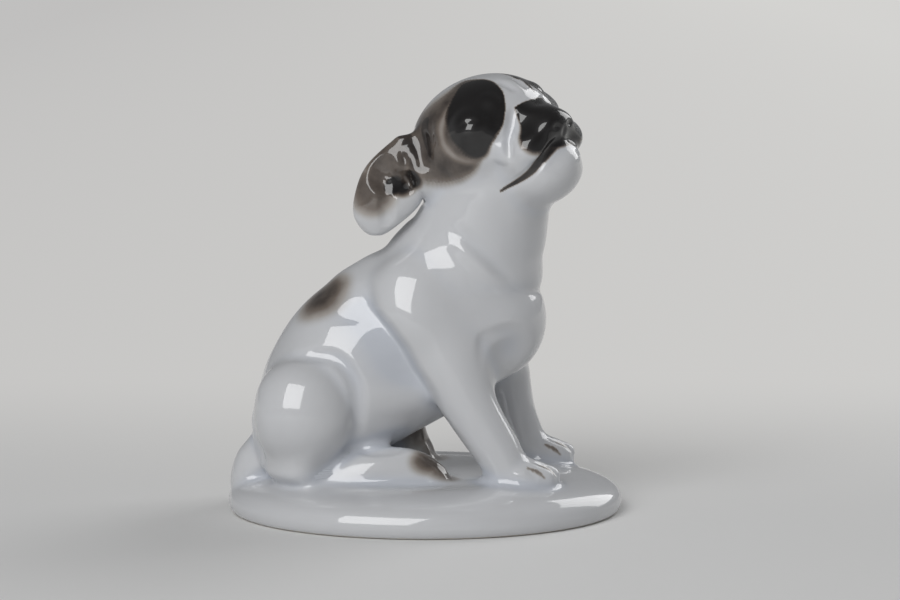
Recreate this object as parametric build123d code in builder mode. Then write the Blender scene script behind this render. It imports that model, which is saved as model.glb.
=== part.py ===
from build123d import *
import os
from math import asin, cos, degrees, radians, sin

# A hollow porcelain puppy sitting on an oval plinth, looking up and to its right.
# Millimetres, +Z up. The origin is the middle of the plinth's underside, +X runs along
# the plinth towards the puppy's front, and +Y is the puppy's left.
# Each moulding is cast by itself. It is cut to the outer form of the ones that it is
# luted to, so that they meet face to face under the glaze.

# ---- driving dimensions ----------------------------------------------------------------

cast_wall = 2.6              # thickness of the slip-cast walls

# plinth
plinth_length = 89.0
plinth_depth = 71.0
plinth_height = 9.7
plinth_squareness = 3.0      # power of the crown's curve, 2 is an ellipse
crown_layers = 7
crown_last_angle = 70        # beyond this the crown is level
widest_height = 1.9
foot_inset = 0.8             # the foot ring's outer edge, in from the widest line
foot_ring_width = 3.2
foot_ring_height = 1.0
vent_diameter = 3.0
vent_place = -17.0           # along X, under the hollow of the rump

# torso
trunk_tilt = 48.5            # slope of the back from the level, degrees
trunk_half_width = 17.5
trunk_half_depth = 20.5
brisket_centre = (14.5, 0, 43.5)
brisket_radii = (13.2, 15.0, 14.0)
shoulder_spread = 10.5       # each shoulder's distance from the middle plane
shoulder_height = 45.0
shoulder_radii = (10.5, 9.0, 15.5)
shoulder_rake = -30          # degrees about Y
neck_half_width = 14.0
neck_base_height = 53.0      # where the neck runs out into the trunk
neck_seam_height = 70.0      # where the head is luted on

# head, in a frame of its own: forwards, to its left, up
head_above_seam = 13.6
head_centre = (16.2, -4.0, neck_seam_height + head_above_seam)
head_turn = -44.7            # towards the puppy's right, degrees
head_lift = 22.9             # muzzle above the level, degrees
head_roll = 8.9              # left side raised, degrees
skull_centre = (-3.0, 0, 2.0)
skull_radii = (17.0, 16.9, 14.0)
ear_root_place = (-10.5, 14.0, 1.0)
ear_root_radii = (4.5, 4.5, 7.0)
eye_place = (4.6, 11.0, 3.6)
eye_radius = 5.5
eye_outlook = (0.57, 0.81, -0.07)      # the way the left eye faces
lid_opening = 3.1            # radius of the ring between the lids and the eye
lid_groove = 0.5
bridge_centre = (11.0, 0, -1.0)
bridge_radii = (8.0, 6.0, 5.0)
nose_centre = (17.4, 0, -2.2)
nose_radii = (2.8, 4.6, 3.2)
lip_place = (10.3, 4.6, -5.5)
lip_radii = (7.4, 6.0, 6.0)
jaw_centre = (8.8, 0, -11.0)
jaw_radii = (9.2, 8.8, 6.6)
mouth_centre = (6.4, 0, -11.3)
mouth_radius = 11.6
mouth_rise = 21              # the mouth's front above its corners, degrees
mouth_groove = 0.9
nostril_place = (20.2, 2.2, -2.6)
nostril_radius = 0.8
ear_place = (-17.0, 20.0, 0.6)
ear_hollow_place = (-3.5, -1.5, 3.4)   # along the ear, across it, out from its middle
ear_hollow_radii = (5.5, 3.6, 2.4)

# limbs and tail
foreleg_spread = 14.3        # each foreleg's distance from the middle plane
paw_radii = (8.0, 5.5, 3.6)
paw_slope = 9                # degrees about Y
toe_spread = 1.9             # each groove between toes, from the paw's middle
toe_groove_width = 0.7
toe_groove_depth = 0.8
haunch_place = (-26.8, 12.5, 24.0)
haunch_radii = (11.8, 10.5, 12.5)
hind_foot_spread = 13.0


# ---- helpers ---------------------------------------------------------------------------

def oval(at, square_to, half_width, half_depth):
    """An elliptical section centred on a point and square to a direction, wide along Y."""
    with BuildSketch(Plane(origin=at, x_dir=(0, 1, 0), z_dir=square_to)) as section:
        Ellipse(half_width, half_depth)
    return section.sketch


def ellipsoid(frame, at, radii, turned=(0, 0, 0)):
    """An ellipsoid centred on a point of a frame, turned about the frame's axes."""
    ball = scale(Sphere(1, mode=Mode.PRIVATE), by=radii, mode=Mode.PRIVATE)
    return frame.location * Location(at, turned) * ball


def mirrored(place, side):
    """A place on the left side, or with side -1 its match on the right."""
    return (place[0], side * place[1], place[2])


def toe_grooves(at, radii, turned):
    """The slits that part the toes over the front half of a paw."""
    outer = tuple(radius + toe_groove_depth for radius in radii)
    inner = tuple(radius - toe_groove_depth for radius in radii)
    with BuildPart() as grooves:
        add(ellipsoid(body_frame, at, outer, turned))
        add(ellipsoid(body_frame, at, inner, turned), mode=Mode.SUBTRACT)
        with Locations([(at[0] + radii[0], at[1] + side * toe_spread, at[2] + radii[2])
                        for side in (-1, 1)]):
            Box(1.3 * radii[0], toe_groove_width, 2 * radii[2], mode=Mode.INTERSECT)
    return grooves.part


def limb(stations):
    """A smooth limb through oval sections, each a point with its half width and half depth."""
    points = [Vector(*at) for at, _, _ in stations]
    last = len(points) - 1
    sections = []
    for i, (at, half_width, half_depth) in enumerate(stations):
        run = points[min(i + 1, last)] - points[max(i - 1, 0)]
        sections.append(oval(at, tuple(run), half_width, half_depth))
    return loft(sections, mode=Mode.PRIVATE)


def finish(moulding, name):
    """Name a finished moulding and write it."""
    moulding.part.label = name
    export_step(moulding.part, f"parts/{name}.step")


os.makedirs("parts", exist_ok=True)
sides = {"right": -1, "left": 1}
body_frame = Plane.XY
head_frame = Plane(Location(head_centre) * Rot(0, 0, head_turn) * Rot(0, -head_lift, 0)
                   * Rot(head_roll, 0, 0))


# ---- plinth: outer form ----------------------------------------------------------------

half_length = plinth_length / 2
depth_ratio = plinth_depth / plinth_length


def pillow(inset, base):
    """The plinth's form above a height, or with an inset the hollow inside it."""
    reach = half_length - inset
    rise = plinth_height - inset - widest_height
    share = 2 / plinth_squareness
    first_angle = degrees(asin(((base - widest_height) / rise) ** (1 / share)))
    layers = []
    for step in range(crown_layers):
        angle = radians(first_angle + (crown_last_angle - first_angle) * step / (crown_layers - 1))
        radius = reach * cos(angle) ** share
        height = widest_height + rise * sin(angle) ** share
        layers.append(oval((0, 0, height), (0, 0, 1), radius * depth_ratio, radius))
    return loft(layers, mode=Mode.PRIVATE)


with BuildPart() as plinth_form:
    add(pillow(0, widest_height))
    # side below the widest line, down to the foot ring
    foot = half_length - foot_inset
    loft([oval((0, 0, 0), (0, 0, 1), foot * depth_ratio, foot),
          oval((0, 0, widest_height), (0, 0, 1), half_length * depth_ratio, half_length)])


# ---- neck and head: outer forms --------------------------------------------------------

# centre, then the shares of the neck's half width across and fore and aft
neck_rise = neck_seam_height - neck_base_height
seam_station = ((13.6, -2.2, neck_seam_height), 0.97, 1.0)
neck_stations = [((8, -0.5, neck_base_height), 1.1, 1.21),
                 ((10.5, -1, neck_base_height + 0.4 * neck_rise), 1.04, 1.19), seam_station]
throat_stations = [seam_station, ((15, -3, neck_seam_height + 5), 0.93, 0.9),
                   ((16.5, -4, neck_seam_height + 11), 0.8, 0.75)]


def neck(stations, inset):
    """A stretch of the neck, or with an inset the hollow inside it."""
    return loft([oval(at, (0, 0, 1), neck_half_width * across - inset,
                      neck_half_width * fore_aft - inset)
                 for at, across, fore_aft in stations], mode=Mode.PRIVATE)


with BuildPart() as head_form:
    add(ellipsoid(head_frame, skull_centre, skull_radii))
    for side in sides.values():
        # turned about its own axis, so that the ball's seam lies away from the joint
        add(ellipsoid(head_frame, mirrored(ear_root_place, side), ear_root_radii,
                      (0, 0, side * 45)))
    skull_form = head_form.part
    add(ellipsoid(head_frame, bridge_centre, bridge_radii))
    add(ellipsoid(head_frame, nose_centre, nose_radii))
    add(ellipsoid(head_frame, jaw_centre, jaw_radii))
    add(neck(throat_stations, 0))
    for side in sides.values():
        add(ellipsoid(head_frame, mirrored(eye_place, side), (eye_radius,) * 3))
        add(ellipsoid(head_frame, mirrored(lip_place, side), lip_radii))
    split(bisect_by=Plane.XY.offset(neck_seam_height), keep=Keep.TOP)


# ---- torso: outer form -----------------------------------------------------------------

trunk_axis = (cos(radians(trunk_tilt)), 0, sin(radians(trunk_tilt)))
square_axis = (-trunk_axis[2], 0, trunk_axis[0])

# place along the trunk and square to it, shares of the full half width and half depth
trunk_stations = [
    (-12, 34.6, 0.52, 0.42), (-6, 33.2, 0.78, 0.67), (4, 33, 0.97, 0.83), (20, 31, 1.0, 1.0),
    (34, 27, 0.98, 1.0), (44, 26, 0.9, 0.95), (52, 28, 0.7, 0.75),
]


def trunk(inset):
    """The trunk's form, or with an inset the hollow inside it."""
    sections = []
    for along, above, width_share, depth_share in trunk_stations:
        at = tuple(along * a + above * b for a, b in zip(trunk_axis, square_axis))
        sections.append(oval(at, trunk_axis, trunk_half_width * width_share - inset,
                             trunk_half_depth * depth_share - inset))
    return loft(sections, mode=Mode.PRIVATE)


with BuildPart() as torso_form:
    add(trunk(0))
    add(neck(neck_stations, 0))
    add(ellipsoid(body_frame, brisket_centre, brisket_radii))
    for side in sides.values():
        add(ellipsoid(body_frame, (0, side * shoulder_spread, shoulder_height), shoulder_radii,
                      (0, shoulder_rake, 0)))


# ---- limbs and tail: outer forms -------------------------------------------------------

# The forepaws stand apart, the right one further back, and so do the hind feet.
# Forelegs: along X, share of the spread, height, half width, half depth.
foreleg_stations = {
    "right": [(2, 0.9, 43, 5, 6.5), (5, 0.95, 36.5, 6.4, 8.2), (8.8, 0.98, 28.5, 6, 6.6),
              (12.3, 1, 22, 5.4, 5.7), (16.3, 1, 15.5, 5, 5.2), (18.5, 1, 9, 5, 5)],
    "left": [(13, 0.9, 42, 5, 6), (17, 0.95, 34, 6.4, 6.8), (18.8, 0.98, 27, 5.6, 5.6),
             (19.8, 1, 21.5, 5, 5.2), (21.8, 1, 15.5, 4.8, 5), (24, 1, 9, 4.8, 5)],
}
paw_places = {
    "right": (22, foreleg_spread, 10.8),
    "left": (26.5, foreleg_spread, 10.9),
}

# Hind feet, heel to toe: along X from the toe, height, half width, half depth.
hind_foot_stations = [(-31, 9.6, 3, 2.8), (-25, 9.8, 4.6, 3.6), (-19, 10.6, 5.4, 5.2),
                      (-12, 11, 5.6, 5.5), (-7, 10.8, 5.6, 4.9), (-3, 10.2, 5, 3.4),
                      (-0.5, 9.9, 3.4, 1.8)]
hind_toe_places = {"right": 5.2, "left": 1.9}

tail_stations = [((-33, 0, 15), 4, 4), ((-37, 0, 13), 4.6, 4.6), ((-39.3, 0, 8.5), 5, 4.6),
                 ((-39.6, 0, 5), 5, 4.6)]

foreleg_forms = {}
haunch_forms = {}
hind_foot_forms = {}
for name, side in sides.items():
    with BuildPart() as foreleg_form:
        add(limb([((x, side * share * foreleg_spread, z), half_width, half_depth)
                  for x, share, z, half_width, half_depth in foreleg_stations[name]]))
        add(ellipsoid(body_frame, mirrored(paw_places[name], side), paw_radii,
                      (0, paw_slope, 0)))
    foreleg_forms[name] = foreleg_form.part
    with BuildPart() as haunch_form:
        add(ellipsoid(body_frame, mirrored(haunch_place, side), haunch_radii))
    haunch_forms[name] = haunch_form.part
    with BuildPart() as hind_foot_form:
        add(limb([((hind_toe_places[name] + x, side * hind_foot_spread, z), half_width, half_depth)
                  for x, z, half_width, half_depth in hind_foot_stations]))
    hind_foot_forms[name] = hind_foot_form.part

with BuildPart() as tail_form:
    add(limb(tail_stations))


# ---- plinth ----------------------------------------------------------------------------

ring_inside = half_length - foot_inset - foot_ring_width

with BuildPart() as plinth:
    add(plinth_form)
    # hollow between the floor and the crown
    add(pillow(cast_wall, foot_ring_height + cast_wall), mode=Mode.SUBTRACT)
    # recess inside the foot ring
    with BuildSketch():
        Ellipse(ring_inside, ring_inside * depth_ratio)
    extrude(amount=foot_ring_height, mode=Mode.SUBTRACT)
    # vent up through the floor and the crown
    with Locations((vent_place, 0, 0)):
        Cylinder(vent_diameter / 2, plinth_height,
                 align=(Align.CENTER, Align.CENTER, Align.MIN), mode=Mode.SUBTRACT)
finish(plinth, "plinth")


# ---- torso -----------------------------------------------------------------------------

with BuildPart() as torso:
    add(torso_form)
    add(plinth_form, mode=Mode.SUBTRACT)
    # hollow of the casting, open into the head, with its vent down to the plinth
    add(trunk(cast_wall), mode=Mode.SUBTRACT)
    add(neck(neck_stations, cast_wall), mode=Mode.SUBTRACT)
    with Locations((vent_place, 0, 0)):
        Cylinder(vent_diameter / 2, 2 * plinth_height,
                 align=(Align.CENTER, Align.CENTER, Align.MIN), mode=Mode.SUBTRACT)
finish(torso, "torso")


# ---- head and ears ---------------------------------------------------------------------

# ring between each eye and its lids
lid_plane_out = (eye_radius ** 2 - lid_opening ** 2) ** 0.5
with BuildPart() as lids:
    for side in sides.values():
        outlook = Vector(*mirrored(eye_outlook, side)).normalized()
        rim = Plane(origin=Vector(*mirrored(eye_place, side)) + outlook * lid_plane_out,
                    z_dir=outlook)
        with Locations(head_frame.location * rim.location):
            Torus(lid_opening, lid_groove)

# mouth: a half ring from corner to corner round the front of the jaw
mouth_plane = Plane(head_frame.location * Location(mouth_centre, (0, -mouth_rise, 0)))
with BuildPart() as mouth:
    with BuildSketch(Plane(origin=mouth_plane.origin, x_dir=-mouth_plane.y_dir,
                           z_dir=mouth_plane.x_dir)):
        with Locations((mouth_radius, 0)):
            Circle(mouth_groove)
    revolve(axis=Axis(mouth_plane.origin, mouth_plane.z_dir), revolution_arc=180)

with BuildPart() as head:
    add(head_form)
    add(lids, mode=Mode.SUBTRACT)
    add(mouth, mode=Mode.SUBTRACT)
    for side in sides.values():
        add(ellipsoid(head_frame, mirrored(nostril_place, side), (nostril_radius,) * 3),
            mode=Mode.SUBTRACT)
    # hollow of the casting, open into the neck
    add(ellipsoid(head_frame, skull_centre, tuple(radius - cast_wall for radius in skull_radii)),
        mode=Mode.SUBTRACT)
    add(neck(throat_stations, cast_wall), mode=Mode.SUBTRACT)
finish(head, "head")

# place along the ear from its fold, centre across it, half width, half thickness
ear_stations = [
    (-10.5, 3.8, 1.6, 1.2), (-9.5, 3.5, 2.6, 1.5), (-6.3, 2.2, 4.9, 2.4), (-1.8, 0.6, 6.6, 3),
    (2.7, 0.3, 7.7, 3), (6.1, -0.9, 6.8, 2.8), (8.8, -2, 4.8, 2.2), (10.8, -2.5, 2.6, 1.4),
    (11.5, -2.5, 1.2, 0.8),
]
# The ear hangs back and down from its root and is laid a little away from the skull.
for name, side in sides.items():
    ear_plane = Plane(origin=mirrored(ear_place, side), x_dir=(-0.389, side * 0.143, -0.91),
                      z_dir=(0.648, side * 0.745, -0.16))
    ear_frame = Plane(head_frame.location * ear_plane.location)
    with BuildPart() as ear:
        add(loft([ear_frame.location * oval((along, -side * across, 0), (1, 0, 0), half_width,
                                            half_thickness)
                  for along, across, half_width, half_thickness in ear_stations],
                 mode=Mode.PRIVATE))
        add(skull_form, mode=Mode.SUBTRACT)
        # hollow of the cupped outer face
        along, across, out = ear_hollow_place
        add(ellipsoid(ear_frame, (along, -side * across, out), ear_hollow_radii),
            mode=Mode.SUBTRACT)
    finish(ear, f"{name}_ear")


# ---- limbs and tail --------------------------------------------------------------------

for name in sides:
    with BuildPart() as foreleg:
        add(foreleg_forms[name])
        add(torso_form, mode=Mode.SUBTRACT)
        add(plinth_form, mode=Mode.SUBTRACT)
        add(toe_grooves(mirrored(paw_places[name], sides[name]), paw_radii, (0, paw_slope, 0)),
            mode=Mode.SUBTRACT)
    finish(foreleg, f"{name}_foreleg")
    with BuildPart() as haunch:
        add(haunch_forms[name])
        add(torso_form, mode=Mode.SUBTRACT)
        add(plinth_form, mode=Mode.SUBTRACT)
    finish(haunch, f"{name}_haunch")
    with BuildPart() as hind_foot:
        add(hind_foot_forms[name])
        add(torso_form, mode=Mode.SUBTRACT)
        add(haunch_forms[name], mode=Mode.SUBTRACT)
        add(plinth_form, mode=Mode.SUBTRACT)
    finish(hind_foot, f"{name}_hind_foot")

with BuildPart() as tail:
    add(tail_form)
    add(torso_form, mode=Mode.SUBTRACT)
    add(plinth_form, mode=Mode.SUBTRACT)
    for name in sides:
        add(haunch_forms[name], mode=Mode.SUBTRACT)
finish(tail, "tail")
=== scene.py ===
from math import cos, pi, radians, sin

import bmesh
import bpy
import numpy as np
import openvdb as vdb
from mathutils import Euler, Matrix, Vector


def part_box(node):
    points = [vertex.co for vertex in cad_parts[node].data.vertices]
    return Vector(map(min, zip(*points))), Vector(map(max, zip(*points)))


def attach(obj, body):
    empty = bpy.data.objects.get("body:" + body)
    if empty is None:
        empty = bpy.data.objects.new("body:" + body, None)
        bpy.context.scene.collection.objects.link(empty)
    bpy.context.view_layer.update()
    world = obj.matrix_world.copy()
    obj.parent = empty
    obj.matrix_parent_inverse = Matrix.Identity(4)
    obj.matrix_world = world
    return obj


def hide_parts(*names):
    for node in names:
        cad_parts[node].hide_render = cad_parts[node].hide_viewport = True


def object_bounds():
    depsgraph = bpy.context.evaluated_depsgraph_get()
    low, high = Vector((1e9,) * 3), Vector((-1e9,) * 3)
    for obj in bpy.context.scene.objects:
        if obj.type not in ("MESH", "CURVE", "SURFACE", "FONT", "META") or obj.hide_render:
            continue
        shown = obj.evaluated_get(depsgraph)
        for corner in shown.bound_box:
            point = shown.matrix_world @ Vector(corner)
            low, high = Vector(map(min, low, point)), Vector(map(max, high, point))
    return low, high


# The glazed surface of a porcelain puppy. The CAD mouldings are read into a field of signed
# distances, in which the luted seams are filled as slip and glaze fill them, and the face,
# ears, toes and creases are modelled. Each piece is then taken out of that field's surface.
# The sculpting is in millimetres, in the shared frame, and the pieces are in metres.

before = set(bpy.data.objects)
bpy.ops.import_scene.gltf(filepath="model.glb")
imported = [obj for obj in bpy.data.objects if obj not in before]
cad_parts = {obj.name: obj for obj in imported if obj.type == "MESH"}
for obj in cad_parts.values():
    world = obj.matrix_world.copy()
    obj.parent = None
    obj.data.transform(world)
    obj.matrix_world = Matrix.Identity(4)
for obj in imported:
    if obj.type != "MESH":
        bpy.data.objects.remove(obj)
cad_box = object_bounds()
MM = 0.001


# ---- fields ---------------------------------------------------------------------------------

def cad_mesh(name):
    """A CAD node's points, in millimetres, and its triangles."""
    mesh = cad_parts[name].data
    mesh.calc_loop_triangles()
    points = np.empty(len(mesh.vertices) * 3, np.float32)
    mesh.vertices.foreach_get("co", points)
    triangles = np.empty(len(mesh.loop_triangles) * 3, np.int32)
    mesh.loop_triangles.foreach_get("vertices", triangles)
    return points.reshape(-1, 3) / MM, triangles.reshape(-1, 3).astype(np.uint32)


def ramp(x, start, end):
    """0 at start, 1 at end, smooth between them."""
    t = np.clip((x - start) / (end - start), 0, 1)
    return t * t * (3 - 2 * t)


def outermost(points, quads):
    """The faces of the surface's outer skin, without the hollows inside it."""
    labels = np.arange(len(points))
    while True:
        lowest = labels[quads].min(axis=1)
        merged = labels.copy()
        np.minimum.at(merged, quads.ravel(), np.repeat(lowest, 4))
        merged = merged[merged]
        if np.array_equal(merged, labels):
            break
        labels = merged
    outer = labels[points[:, 2].argmax()]
    return quads[labels[quads[:, 0]] == outer]


class Clay:
    """Signed distances on a grid, negative in the porcelain."""

    def __init__(self, low, high, voxel):
        self.voxel = voxel
        self.first = np.floor(np.array(low) / voxel).astype(int)
        self.shape = tuple(np.ceil(np.array(high) / voxel).astype(int) - self.first)
        self.low = self.first * voxel
        self.transform = vdb.createLinearTransform(voxelSize=voxel)
        self.values = None

    def from_mesh(self, points, band, triangles=None, quads=None):
        """The distances to a closed mesh, capped at a band of millimetres."""
        faces = {"triangles": triangles} if quads is None else {"quads": quads}
        level = vdb.FloatGrid.createLevelSetFromPolygons(
            points.astype(np.float32), transform=self.transform, halfWidth=band / self.voxel,
            **faces)
        values = np.full(self.shape, band, np.float32)
        level.copyToArray(values, ijk=tuple(int(i) for i in self.first))
        return values

    def skin(self, values, level=0.0):
        """The quads of the surface at a level of some values."""
        grid = vdb.FloatGrid(float(values.max()))
        grid.copyFromArray(values, ijk=tuple(int(i) for i in self.first))
        grid.transform = self.transform
        points, _, quads = grid.convertToPolygons(isovalue=level, adaptivity=0)
        return points, quads

    def redistanced(self, values, level, band):
        """The distances to the outer skin at a level of some values."""
        points, quads = self.skin(values, level)
        return self.from_mesh(points, band, quads=outermost(points, quads))

    def closed(self, values, radius, band):
        """The form with each crease filled that a ball of this radius doesn't reach into."""
        return self.redistanced(values, radius, radius + band) + radius

    def box(self, low, high):
        """The slices of the grid between two corners, and their X, Y and Z."""
        start = np.clip(np.floor((np.array(low) - self.low) / self.voxel).astype(int), 0,
                        self.shape)
        stop = np.clip(np.ceil((np.array(high) - self.low) / self.voxel).astype(int), 0,
                       self.shape)
        part = tuple(slice(a, b) for a, b in zip(start, stop))
        lines = [self.low[i] + self.voxel * np.arange(start[i], stop[i]) for i in range(3)]
        return part, np.meshgrid(*lines, indexing="ij", sparse=True)

    def sample(self, values, points):
        """Some values at points, between the grid's own by straight lines."""
        at = (points - self.low) / self.voxel
        cell = np.clip(np.floor(at).astype(int), 0, np.array(self.shape) - 2)
        t = at - cell
        total = 0
        for corner in np.ndindex(2, 2, 2):
            share = np.prod(np.where(corner, t, 1 - t), axis=1)
            total = total + share * values[tuple((cell + corner).T)]
        return total

    def slope(self, values, points):
        """The unit gradient of some values at points."""
        steps = np.eye(3) * self.voxel
        raw = np.stack([self.sample(values, points + step) - self.sample(values, points - step)
                        for step in steps], axis=1)
        return raw / np.maximum(np.linalg.norm(raw, axis=1, keepdims=True), 1e-9)


def blurred(values, sigma, voxel):
    """Some values smoothed by a bell of that width in millimetres."""
    reach = int(np.ceil(2.5 * sigma / voxel))
    weights = np.exp(-0.5 * (np.arange(-reach, reach + 1) * voxel / sigma) ** 2)
    weights = (weights / weights.sum()).astype(np.float32)
    for axis in range(3):
        padded = np.pad(values, [(reach, reach) if i == axis else (0, 0) for i in range(3)],
                        mode="edge")
        values = sum(weight * np.take(padded, range(i, i + values.shape[axis]), axis)
                     for i, weight in enumerate(weights))
    return values


# ---- body: seams and creases filled ---------------------------------------------------------

VOXEL = 0.5
REACH = 9.0                  # how far the whole form's distances are followed, millimetres
MOULDING_REACH = 6.0         # how far each moulding's own distances are followed
FILLED_REACH = 4.0           # how far the filled forms' distances are followed
SEAM = 0.15                  # half the widest hairline between two mouldings
SEAM_HEIGHT = 70.0           # where the head is luted on
VENT_PLACE = -17.0
VENT_RADIUS = 1.5
STOPPER_MIDDLE = 8.8         # a stopper keeps the vent from opening the hollow
STOPPER_HALF_HEIGHT = 7.2

low_corner = np.array(cad_box[0]) / MM
high_corner = np.array(cad_box[1]) / MM
body = Clay(low_corner - REACH, high_corner + REACH, VOXEL)
X, Y, Z = body.box(low_corner - 2 * REACH, high_corner + 2 * REACH)[1]

nodes = sorted(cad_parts)
ears = [name for name in nodes if name.endswith("_ear")]
head_names = ["head"] + ears
body_names = [name for name in nodes if name not in head_names]
near = {}
for name in nodes:
    points, triangles = cad_mesh(name)
    near[name] = body.from_mesh(points, MOULDING_REACH, triangles=triangles)

from_vent = np.hypot(X - VENT_PLACE, Y)
stopper = np.maximum(from_vent - 1.5 * VENT_RADIUS,
                     np.abs(Z - STOPPER_MIDDLE) - STOPPER_HALF_HEIGHT)
earless = np.minimum.reduce([near[name] for name in nodes if name not in ears] + [stopper])
form = body.redistanced(earless, SEAM, REACH) + SEAM

# the same form with its narrow, wider and widest creases filled
crisp = body.closed(form, 1.0, FILLED_REACH)
soft = body.closed(form, 3.0, FILLED_REACH)
full = body.closed(form, 7.0, FILLED_REACH)

# trunk, rump and throat are filled the most, the head, neck and the haunches' rear less
from_limbs = np.minimum.reduce([near[name] for name in nodes
                                if "haunch" in name or "hind" in name
                                or name in ("tail", "plinth")])
from_haunches = np.minimum(near["left_haunch"], near["right_haunch"])
trunk_share = ramp(from_limbs, 1, 5) * ramp(Z, 24, 36) * (1 - ramp(Z, 64, 70))
rump_share = ramp(from_haunches, 8, 4) * ramp(X, -20, -30) * ramp(Z, 8, 11)
throat_share = ramp(Z, 62, 68) * (1 - ramp(Z, 77, 80)) * ramp(X, 0, 6)
soft_share = np.maximum(ramp(Z, 58, 66), ramp(from_haunches, 6, 2) * ramp(X, -18, -26))
full_share = np.maximum(np.maximum(trunk_share, rump_share), throat_share)
body.values = crisp + np.maximum(soft_share - full_share, 0) * (soft - crisp)
body.values += full_share * (full - crisp)
body.values += trunk_share * (blurred(body.values, 2.0, VOXEL) - body.values)
body.values = blurred(body.values, 0.5, VOXEL)
pooling = blurred(np.clip(form - soft, 0, 2), 0.8, VOXEL)


# ---- modelling tools ------------------------------------------------------------------------

# The head looks up and to the puppy's right. Its frame runs forwards, to its left and up.
HEAD_TURN, HEAD_LIFT, HEAD_ROLL = radians(-44.7), radians(22.9), radians(8.9)
HEAD_CENTRE = np.array([16.2, -4.0, SEAM_HEIGHT + 13.6])
turned = Matrix.Rotation(HEAD_TURN, 3, "Z") @ Matrix.Rotation(-HEAD_LIFT, 3, "Y")
HEAD_AXES = np.array(turned @ Matrix.Rotation(HEAD_ROLL, 3, "X")).T


def to_world(points):
    """Shared-frame points from points in the head's frame."""
    return HEAD_CENTRE + np.atleast_2d(points) @ HEAD_AXES


def bell(q):
    """1 at 0, falling smoothly to 0 at 1."""
    return np.clip(1 - q * q, 0, 1) ** 2


def laid(clay, points):
    """Points moved onto the surface."""
    points = np.atleast_2d(np.asarray(points, float))
    for _ in range(4):
        points = points - clay.sample(clay.values, points)[:, None] * clay.slope(clay.values,
                                                                               points)
    return points


def mound(clay, centre, radii, amount):
    """Raise the surface by an amount inside an ellipsoid of influence. Less than 0 sinks it."""
    centre = laid(clay, centre)[0]
    part, lines = clay.box(centre - max(radii), centre + max(radii))
    points = np.stack(np.broadcast_arrays(*lines), axis=-1)
    q = np.sqrt((((points - centre) / radii) ** 2).sum(axis=-1))
    clay.values[part] -= amount * bell(q)


def through(points, steps=12):
    """A smooth line through some points."""
    points = np.asarray(points, float)
    padded = np.vstack([2 * points[0] - points[1], points, 2 * points[-1] - points[-2]])
    line = []
    for a, b, c, d in zip(padded, padded[1:], padded[2:], padded[3:]):
        for t in np.arange(steps) / steps:
            line.append(0.5 * (2 * b + (c - a) * t + (2 * a - 5 * b + 4 * c - d) * t ** 2
                               + (3 * b - a - 3 * c + d) * t ** 3))
    return np.array(line + [points[-1]])


def nearest(line, points, width):
    """Each point's distance to a line, and the place along it from 0 to 1."""
    best = np.full(len(points), (4 * width) ** 2)
    along = np.zeros(len(points))
    for i, place in enumerate(line):
        distance = ((points - place) ** 2).sum(axis=1)
        nearer = distance < best
        best[nearer] = distance[nearer]
        along[nearer] = i / (len(line) - 1)
    return np.sqrt(best), along


def stroke(clay, points, width, amount, ends=0.3):
    """Raise the surface along a line. It thins out over a share of the length at each end."""
    line = laid(clay, through(points))
    part, lines = clay.box(line.min(axis=0) - width, line.max(axis=0) + width)
    at = np.stack(np.broadcast_arrays(*lines), axis=-1).reshape(-1, 3)
    distance, along = nearest(line, at, width)
    taper = ramp(np.minimum(along, 1 - along), -0.02, ends)
    change = amount * taper * bell(distance / width)
    clay.values[part] -= change.reshape(clay.values[part].shape)


def soften(clay, centre, radius, sigma):
    """Smooth the surface round a place."""
    centre = laid(clay, centre)[0]
    part, lines = clay.box(centre - radius - 3 * sigma, centre + radius + 3 * sigma)
    distance = np.sqrt(sum((line - c) ** 2 for line, c in zip(lines, centre)))
    block = clay.values[part]
    share = bell(distance / radius) ** 0.5
    clay.values[part] = block + share * (blurred(block, sigma, clay.voxel) - block)


def joined(a, b, reach):
    """Two forms in one, with a fillet of about this reach where they meet."""
    overlap = np.clip(reach - np.abs(a - b), 0, None)
    return np.minimum(a, b) - overlap ** 2 / (4 * np.maximum(reach, 1e-3))


def rod(clay, start, end, radius, reach):
    """Add a rounded rod with a fillet of about this reach round it."""
    start, end = np.array(start, float), np.array(end, float)
    part, lines = clay.box(np.minimum(start, end) - radius - 2 * reach,
                           np.maximum(start, end) + radius + 2 * reach)
    at = np.stack(np.broadcast_arrays(*lines), axis=-1) - start
    along = np.clip(at @ (end - start) / ((end - start) @ (end - start)), 0, 1)
    distance = np.linalg.norm(at - along[..., None] * (end - start), axis=-1) - radius
    clay.values[part] = joined(clay.values[part], distance, reach)


def on_both_sides(points):
    """Shared-frame points of a place on the head, given on its left, there and on its right."""
    points = np.atleast_2d(np.asarray(points, float))
    for side in (1, -1):
        yield to_world(points * (1, side, 1))


def each_side(points):
    """A place on the body's right side, then its mirror image on the left."""
    points = np.atleast_2d(np.asarray(points, float))
    for side in (1, -1):
        yield points * (1, side, 1)


def pair_on_body(tool, points, *settings, **more):
    """Use a modelling tool on the body's right side and in the same place on the left."""
    for place in each_side(points):
        tool(body, place, *settings, **more)


def mirrored(right_half, middle):
    """A line from the right over the middle to the left, from its right half."""
    return right_half + [middle] + [(x, -y, z) for x, y, z in reversed(right_half)]


# ---- body modelling -------------------------------------------------------------------------

# nape and back filled out, rump drawn in
stroke(body, [(-1.0, -2.0, 66.0), (-4.5, -2.0, 62.5), (-9.0, -1.0, 59.5)], 8.0, 1.2)
stroke(body, [(-9.0, 0, 59.5), (-16.0, 0, 56.0), (-23.0, 0, 51.0)], 9.0, 0.9)
mound(body, (-40.0, 0, 24.0), (12.0, 12.0, 12.0), -1.4)

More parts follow.
